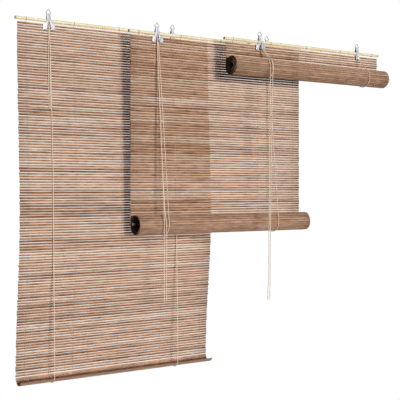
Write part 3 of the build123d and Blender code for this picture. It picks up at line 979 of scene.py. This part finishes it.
def rod(blind):
    """A cane with grooved nodes, cut square and hollow at its ends."""
    start = -ROD_OVERHANG
    end = blind.width + ROD_OVERHANG
    stations = {start, end}
    for spot in ROD_NODES:
        stations.update(spot + ROD_NODE_HALF * share for share in ROD_NODE_STATIONS)
    for count in range(1, ROD_STATIONS):
        along = start + (end - start) * count / ROD_STATIONS
        if min(abs(along - spot) for spot in ROD_NODES) > ROD_NODE_CLEAR:
            stations.add(along)
    bore = ROD_RADIUS * ROD_BORE
    profile = [(start + ROD_BORE_DEPTH, 0.0), (start + ROD_BORE_DEPTH, bore), (start, bore)]
    profile += [(along, rod_radius(along)) for along in sorted(stations)]
    profile += [(end, bore), (end - ROD_BORE_DEPTH, bore), (end - ROD_BORE_DEPTH, 0.0)]
    form = bmesh.new()
    ring_mark = form.verts.layers.float.new("node_ring")
    rings = []
    for along, radius in profile:
        near_node = min(abs(along - spot) for spot in ROD_NODES) / ROD_NODE_HALF
        ring = []
        for step in range(ROD_SIDES if radius else 1):
            angle = 2 * pi * step / ROD_SIDES
            vertex = form.verts.new((blind.left + along, blind.rod.y + radius * cos(angle),
                                     blind.rod.z + radius * sin(angle)))
            vertex[ring_mark] = ROD_GROOVE_BROWN if near_node < ROD_GROOVE_SHARE else 0.0
            ring.append(vertex)
        rings.append(ring)
    # The bore faces at each end take the painted shade of the cane's hollow
    inner = {0, 1, len(rings) - 3, len(rings) - 2}
    for count, (ring, after) in enumerate(zip(rings, rings[1:])):
        for step in range(ROD_SIDES):
            following = (step + 1) % ROD_SIDES
            corners = [ring[step % len(ring)], ring[following % len(ring)],
                       after[following % len(after)], after[step % len(after)]]
            face = form.faces.new(list(dict.fromkeys(corners)))
            face.smooth = count not in inner
            face.material_index = 1 if count in inner else 0
    bmesh.ops.recalc_face_normals(form, faces=form.faces)
    name = blind.name + "_cane_rod"
    piece = add(name, shaped(form, name, FINISHES["rod_bamboo"], FINISHES["cane_pith"]))
    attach(piece, "head")
    stand_in(blind.name + "_head_rod")


def rod_loops(blind):
    """Thread wound round the rod above each line of weave, and its two ends down to the curtain."""
    routes = []
    reach = ROD_RADIUS + THREAD_RADIUS
    turns = [LOOP_STEP * count - pi / 2 for count in range(LOOP_STEPS)]
    for spot in THREAD_SPOTS:
        for aside in (-2 * THREAD_RADIUS, 0.0, 2 * THREAD_RADIUS):
            routes.append([blind.place(spot + aside, -reach * cos(turn), -reach * sin(turn))
                           for turn in turns])
        for side in (-1, 1):
            routes.append([blind.place(spot + side * THREAD_RADIUS, side * forward, down)
                           for forward, down in LOOP_LEADS])
    piece = tubes_piece(blind.name + "_rod_loops", routes, THREAD_RADIUS, "weave_thread", LOOP_SIDES)
    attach(piece, "head")


def bright_clip(node):
    """A clip's folded sheet with its sharp edges broken and its inner side marked for painted shade."""
    form = bmesh.new()
    form.from_mesh(frame["nodes"][node].data)
    bmesh.ops.remove_doubles(form, verts=form.verts, dist=MERGE_WITHIN)
    bmesh.ops.dissolve_limit(form, angle_limit=FLAT_WITHIN, verts=form.verts, edges=form.edges)
    holder = add(node + "_holder", shaped(form, node + "_bright", FINISHES["clip_metal"]))
    bevel = holder.modifiers.new("broken_edges", "BEVEL")
    bevel.width = EDGE_BREAK
    bevel.segments = EDGE_BREAK_STEPS
    bevel.limit_method = "ANGLE"
    bevel.angle_limit = EDGE_BREAK_FROM
    piece = add(node + "_bright", plain_mesh(holder))
    bpy.data.objects.remove(holder)
    piece.data.shade_smooth()
    piece.data.set_sharp_from_angle(angle=CREASE_FROM)
    # Faces on the clip's inner side, which the material paints dark as painted shade and makes rougher
    inside = piece.data.attributes.new("inside", "FLOAT", "FACE")
    low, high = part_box(node)
    middle = (low.y + high.y) / 2
    for face in piece.data.polygons:
        inside.data[face.index].value = float((face.center.y - middle) * face.normal.y < -INNER_SIDE)
    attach(piece, "head")
    stand_in(node)


def coat(node, finish):
    """A better finish on a CAD node that keeps its shape."""
    for holder in frame["nodes"][node].material_slots:
        holder.material = FINISHES[finish]


def fittings(blind):
    """Clips with their rings and pins, and the batten at the curtain's end."""
    for side in ("cord", "plain"):
        bright_clip(f"{blind.name}_{side}_clip")
        coat(f"{blind.name}_{side}_clip_ring", "ring_wire")
    coat(blind.name + "_clip_pins", "ring_wire")
    coat(blind.name + "_bottom_batten", "batten_bamboo")


def strand_places(blind):
    """How far across the two lift strands hang."""
    first, second = blind.clips
    return first - blind.left + FRONT_STRAND, second - blind.left


def sling_end(blind, down):
    """Turn about the roll's axis, from the rear over the top, at which the front run leaves the sling."""
    if not blind.rolled:
        return pi
    away_y = ROLL_RADIUS - STRAND_REACH
    away_z = blind.drop - down - CORD_LEAD
    return atan2(away_z, away_y) + acos(SLING_RADIUS / hypot(away_y, away_z))


def level_cut(points, height):
    """The point of a falling route at a height."""
    for before, after in zip(points, points[1:]):
        if after.z <= height < before.z:
            return before.lerp(after, (before.z - height) / (before.z - after.z))


def banded_runs(blind, routes):
    """The middle blind's front runs, cut into bands at even heights."""
    top = cord_lead(blind)
    foot = blind.axis.z
    pieces = []
    for band in range(MIDDLE_BANDS):
        high = top + (foot - top) * band / MIDDLE_BANDS
        low = top + (foot - top) * (band + 1) / MIDDLE_BANDS
        cut = []
        for points in routes:
            kept = [point for point in points if point.z > low and (band == 0 or point.z < high)]
            if band:
                kept.insert(0, level_cut(points, high))
            if points[-1].z < low:
                kept.append(level_cut(points, low))
            cut.append(kept)
        piece = tubes_piece(f"middle_front_runs_{band + 1}", cut, CORD_RADIUS, "cord_cotton")
        share_rise(piece, blind, high, low, band / MIDDLE_BANDS, (band + 1) / MIDDLE_BANDS)
        pieces.append(piece)
    return pieces


def lift_cords(blind):
    """Front runs, rear runs and the slings that carry the roll between them."""
    fronts, rears, slings = [], [], []
    radius = SLING_RADIUS if blind.rolled else CURL_RADIUS + REAR_REACH
    axis_forward = blind.rod.y - blind.axis.y
    rear_forward = axis_forward - radius
    for count, top_across in enumerate(strand_places(blind)):
        across = top_across if count else top_across + LIFT_SHIFT
        down = PIN_DROP + CORNER_RADIUS if count else PIN_DROP
        end = sling_end(blind, down)
        turns = [end - 2 * pi + (2 * pi - end) * step / SLING_STEPS for step in range(SLING_STEPS + 1)]
        slings.append([blind.place(across, axis_forward - radius * cos(turn), blind.drop - radius * sin(turn))
                       for turn in turns])
        front = [(STRAND_REACH, down), (STRAND_REACH, down + CORD_LEAD)]
        rear = [(-REAR_REACH, KNOT_DROP)]
        if not blind.rolled:
            front += [(blind.bow(station) + REAR_REACH, station) for station in FRONT_STATIONS]
            front.append((axis_forward + radius, blind.drop - CURL_LEAD))
            stations = [blind.drop * step / REAR_STATIONS for step in range(1, REAR_STATIONS)]
            rear += [(blind.bow(station) - REAR_REACH, station) for station in stations]
            rear.append((rear_forward, blind.drop - CURL_LEAD))
        foot = (axis_forward - radius * cos(end), blind.drop - radius * sin(end))
        if blind.rolled:
            share = min(LIFT_SETTLE / (foot[1] - down - CORD_LEAD), LIFT_SETTLE_MOST)
            front.append(tuple(a + (b - a) * share for a, b in zip(front[1], foot)))
        front.append(foot)
        rear.append((rear_forward, blind.drop))
        led = [blind.place(top_across, *spot) for spot in front[:2]]
        fronts.append(smooth_route(led + [blind.place(across, *spot) for spot in front[2:]]))
        rears.append(smooth_route([blind.place(across, *spot) for spot in rear]))
    for side, routes in (("front", fronts), ("rear", rears)):
        if (blind.name, side) == ("middle", "front"):
            pieces = banded_runs(blind, routes)
        else:
            piece = tubes_piece(f"{blind.name}_{side}_runs", routes, CORD_RADIUS, "cord_cotton")
            pieces = [piece]
            if blind.rolled:
                draw_out(piece, blind.axis.z)
            else:
                gather_up(piece, blind)
        for piece in pieces:
            stand_in(f"{blind.name}_lift_cords_{side}")
    loops = tubes_piece(blind.name + "_slings", slings, CORD_RADIUS, "cord_cotton")
    stand_in(blind.name + "_cord_slings")
    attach(loops, blind.carrier)


def head_cord(blind):
    """The bight over the lock pin, the run under the rod, and the knots at the tie pins."""
    first, second = strand_places(blind)
    turns = [pi * step / BIGHT_STEPS for step in range(BIGHT_STEPS + 1)]
    bight = [blind.place(first, PIN_REACH - BIGHT_RADIUS * cos(turn), PIN_DROP - BIGHT_RADIUS * sin(turn))
             for turn in turns]
    low = PIN_DROP + CORNER_RADIUS
    near = first - 2 * FRONT_STRAND
    cut = PIN_DROP + CORNER_CUT
    route = [(near, low), (near, cut), (near + CORNER_CUT, PIN_DROP), (near + CORNER_RADIUS, PIN_DROP),
             (second - CORNER_RADIUS, PIN_DROP), (second - CORNER_CUT, PIN_DROP), (second, cut),
             (second, low)]
    across = smooth_route([blind.place(spot, STRAND_REACH, down) for spot, down in route])
    knots = []
    turns = [2 * pi * step / KNOT_STEPS for step in range(KNOT_STEPS)]
    for strand in (first, second):
        for aside in (-KNOT_ASIDE, KNOT_ASIDE):
            knots.append([blind.place(strand + aside, -REAR_REACH - KNOT_HALF_DEPTH * cos(turn),
                                      KNOT_DROP - KNOT_HALF_HEIGHT * sin(turn)) for turn in turns])
    piece = tubes_piece(blind.name + "_head_cord_run", [bight, across, *knots], CORD_RADIUS, "cord_cotton")
    stand_in(blind.name + "_head_cord")
    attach(piece, "head")


def pull_cords(blind):
    """The two free ends that hang in front."""
    first = blind.clips[0] - blind.left
    starts = ((first + FRONT_STRAND, PIN_REACH + BIGHT_RADIUS, PIN_DROP),
              (first - FRONT_STRAND, STRAND_REACH, PIN_DROP + CORNER_RADIUS))
    for letter, start, tail, length in zip("ab", starts, blind.tails, blind.tail_lengths):
        route = [blind.place(*start), blind.place(start[0], start[1], start[2] + CORD_LEAD)]
        route += [blind.place(first + x * MM, -y * MM, -z * MM) for x, y, z in tail]
        line = smooth_route(route)
        name = f"{blind.name}_pull_cord_{letter}"
        piece = tubes_piece(name + "_tail", [line], CORD_RADIUS, "cord_cotton")
        stand_in(name)
        draw_out(piece, blind.axis.z)


# Stage

def photo_camera():
    """The photo's view."""
    camera = bpy.data.cameras.new("photo_camera")
    camera.sensor_width = SENSOR_WIDTH_MM
    camera.lens = FOCAL_PIXELS * SENSOR_WIDTH_MM / PICTURE_SIDE
    camera.shift_y = (HORIZON_ROW - PICTURE_SIDE / 2) / PICTURE_SIDE
    holder = add("photo_camera", camera)
    holder.location = CAMERA_PLACE
    holder.rotation_euler = (pi / 2, 0.0, -CAMERA_TURN)
    bpy.context.scene.camera = holder


def studio():
    """A soft frontal key, a back light, a weak fill all round, a white surround and a pale floor below."""
    for name, travel, strength, spread in (("key", KEY_TRAVEL, KEY_STRENGTH, KEY_SPREAD),
                                           ("back", BACK_TRAVEL, BACK_STRENGTH, BACK_SPREAD)):
        sun = bpy.data.lights.new(name, "SUN")
        sun.energy = strength
        sun.angle = spread
        holder = add(name, sun)
        holder.rotation_mode = "QUATERNION"
        holder.rotation_quaternion = Vector(travel).to_track_quat("-Z", "Y")
    world = bpy.data.worlds.new("surround")
    world.use_nodes = True
    bpy.context.scene.world = world
    world.node_tree.nodes.clear()
    graph = Graph(world.node_tree)
    fill = graph.node("ShaderNodeBackground", None, {"Color": WHITE, "Strength": FILL_STRENGTH})
    white = graph.node("ShaderNodeBackground", None, {"Color": WHITE, "Strength": 1.0})
    both = graph.node("ShaderNodeMixShader", None, {0: graph.seen(), 1: fill, 2: white})
    out = world.node_tree.nodes.new("ShaderNodeOutputWorld")
    graph.feed(out.inputs["Surface"], both)
    form = bmesh.new()
    bmesh.ops.create_circle(form, cap_ends=True, segments=FLOOR_SIDES, radius=FLOOR_HALF)
    low, high = solid_box
    middle = (low + high) / 2
    bmesh.ops.translate(form, verts=form.verts, vec=(middle.x, middle.y, low.z - FLOOR_DROP))
    add("floor", shaped(form, "floor", studio_floor()))


def main():
    bpy.context.scene.view_settings.view_transform = "Standard"
    photo_camera()
    for blind in BLINDS:
        pull_cords(blind)
        lift_cords(blind)
        head_cord(blind)
        curtain(blind)
        roll(blind)
        rod(blind)
        rod_loops(blind)
        fittings(blind)
    studio()


main()
